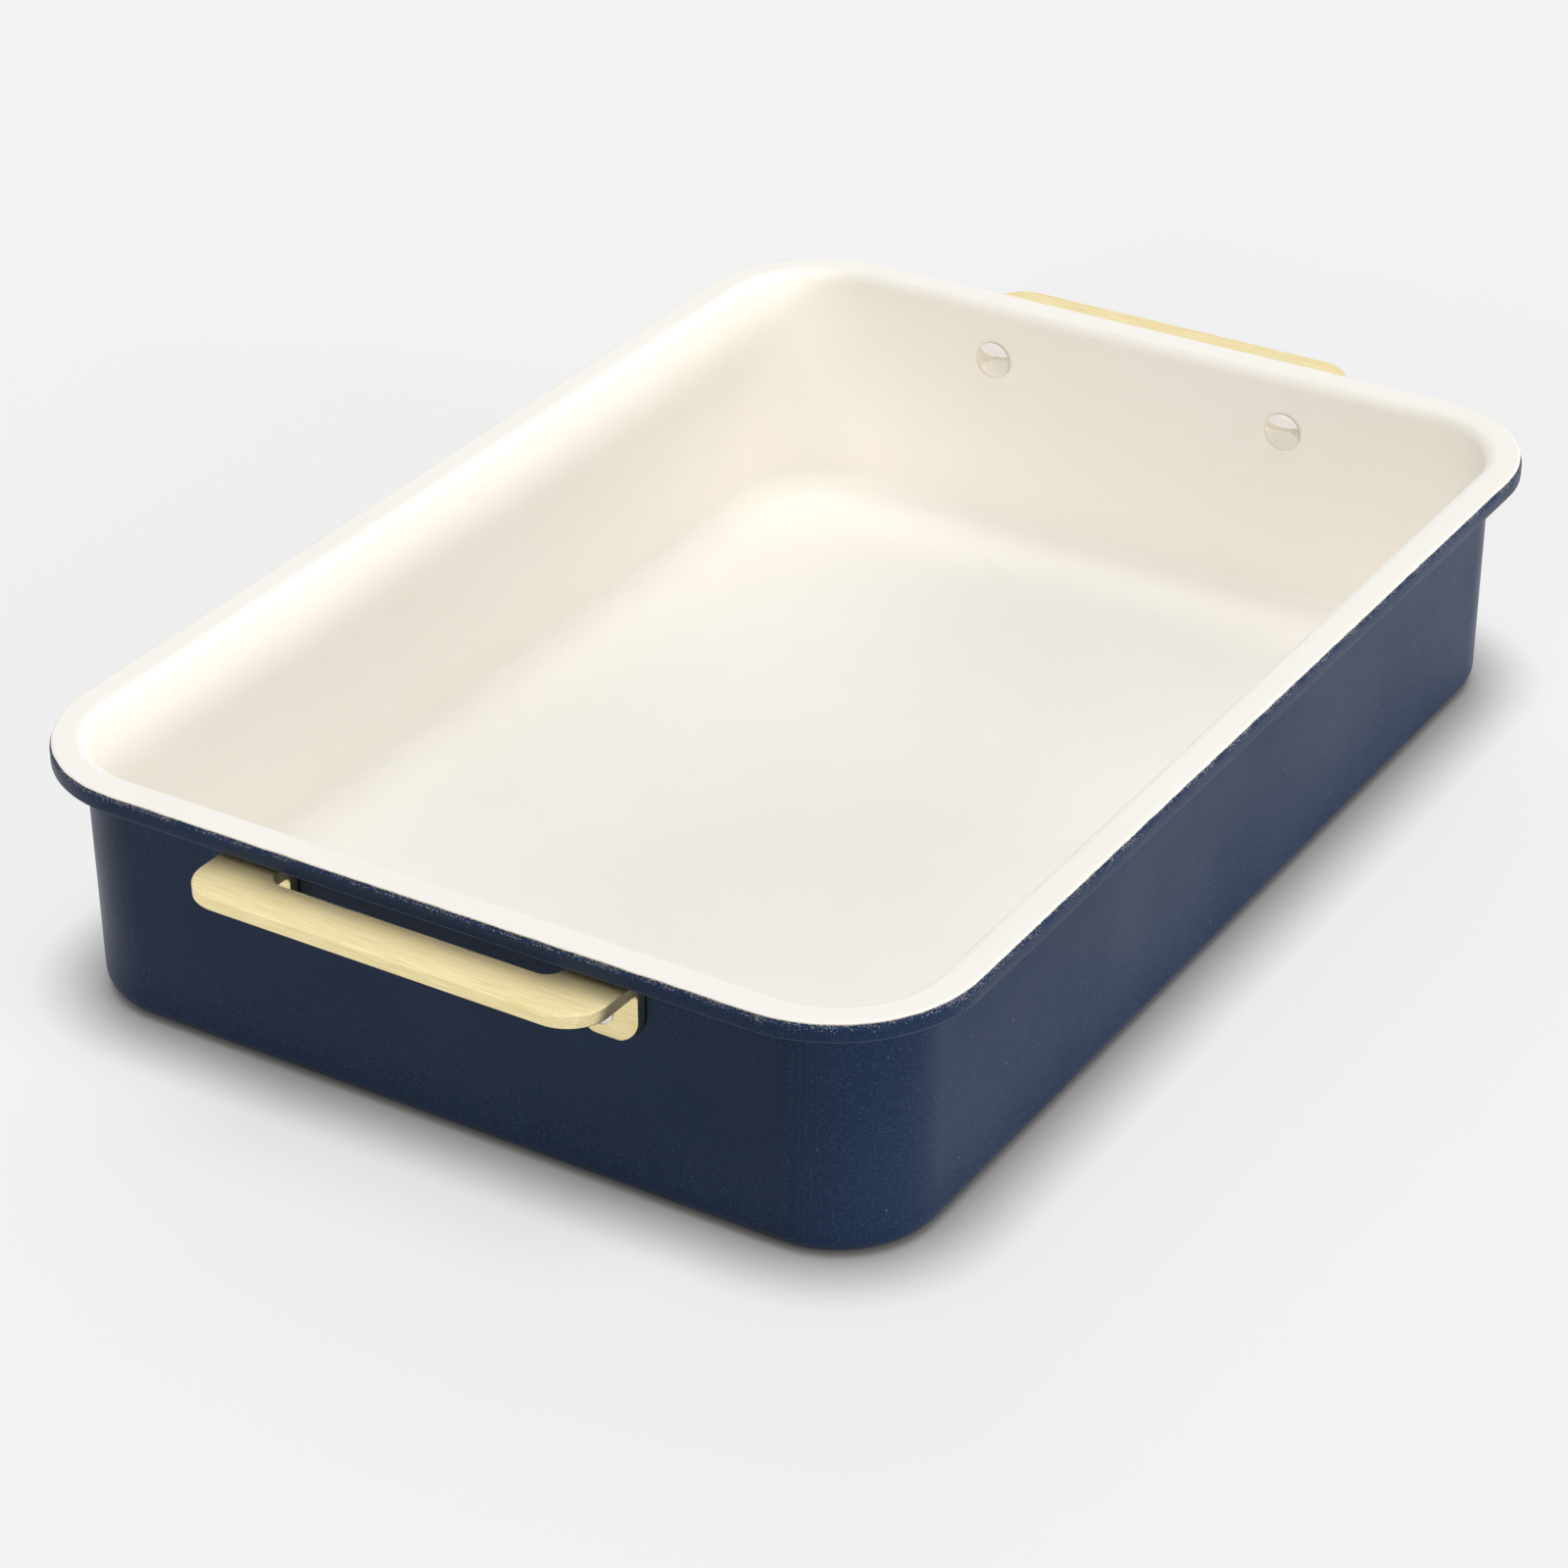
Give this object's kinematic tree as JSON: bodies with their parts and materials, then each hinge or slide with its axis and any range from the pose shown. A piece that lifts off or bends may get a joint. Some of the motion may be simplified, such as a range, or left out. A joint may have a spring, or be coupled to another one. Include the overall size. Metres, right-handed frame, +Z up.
{
  "type": "cake pan",
  "caption": "Rectangular steel cake pan with a ceramic lining, a flat turned-down rim and a bent sheet handle riveted to each end wall.",
  "frame": {"origin": "under the middle of the base, on the surface that the pan stands on", "axes": "+X along the pan's length towards the rear handle, +Y across its width, +Z up"},
  "size_m": [0.3864, 0.248, 0.0677],
  "materials": {
    "navy_coat": "navy coat with a fine sparkle, satin",
    "cream_ceramic": "cream ceramic non-stick coat, satin",
    "satin_gold": "gold-coloured steel, satin brushed",
    "bright_steel": "polished steel"
  },
  "bodies": {
    "root": {"pan_body": "navy_coat", "ceramic_lining": "cream_ceramic", "front_handle": "satin_gold", "rear_handle": "satin_gold", "rivet_front_left": "bright_steel", "rivet_front_right": "bright_steel", "rivet_rear_left": "bright_steel", "rivet_rear_right": "bright_steel"}
  },
  "joints": []
}
